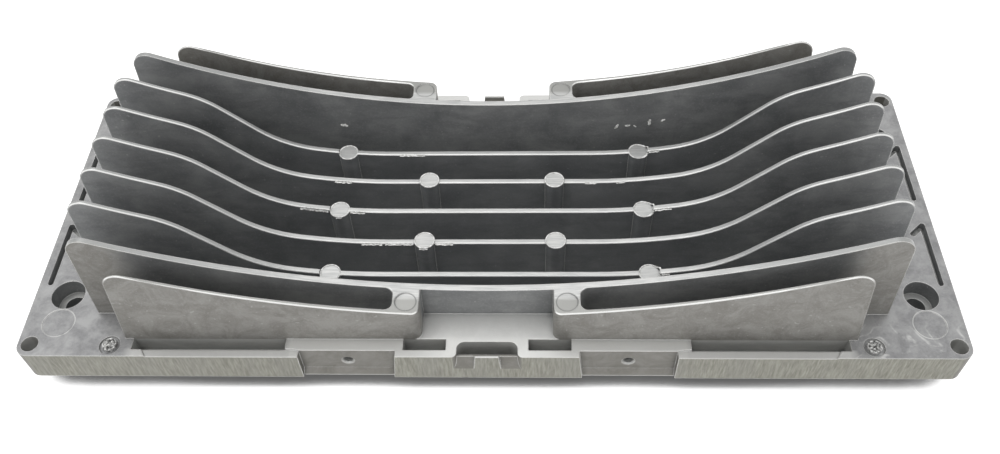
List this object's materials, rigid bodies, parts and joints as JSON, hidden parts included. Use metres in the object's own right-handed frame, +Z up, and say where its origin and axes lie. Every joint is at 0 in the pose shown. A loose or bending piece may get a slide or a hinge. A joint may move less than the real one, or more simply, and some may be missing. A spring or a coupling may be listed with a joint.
{
  "type": "die cast finned housing",
  "caption": "Rectangular bare cast aluminium housing with long upright cooling fins, their tops sweeping down to a low middle, on a flat flange with screw holes.",
  "frame": {"origin": "middle of the flat underside of the belly, on which the casting rests", "axes": "+X along the fins, +Y across the fins towards the back long edge, +Z up towards the fin tips"},
  "size_m": [0.3, 0.116, 0.0589],
  "materials": {
    "cast_aluminium": "as cast, satin"
  },
  "bodies": {
    "root": {"housing": "cast_aluminium"}
  },
  "joints": []
}
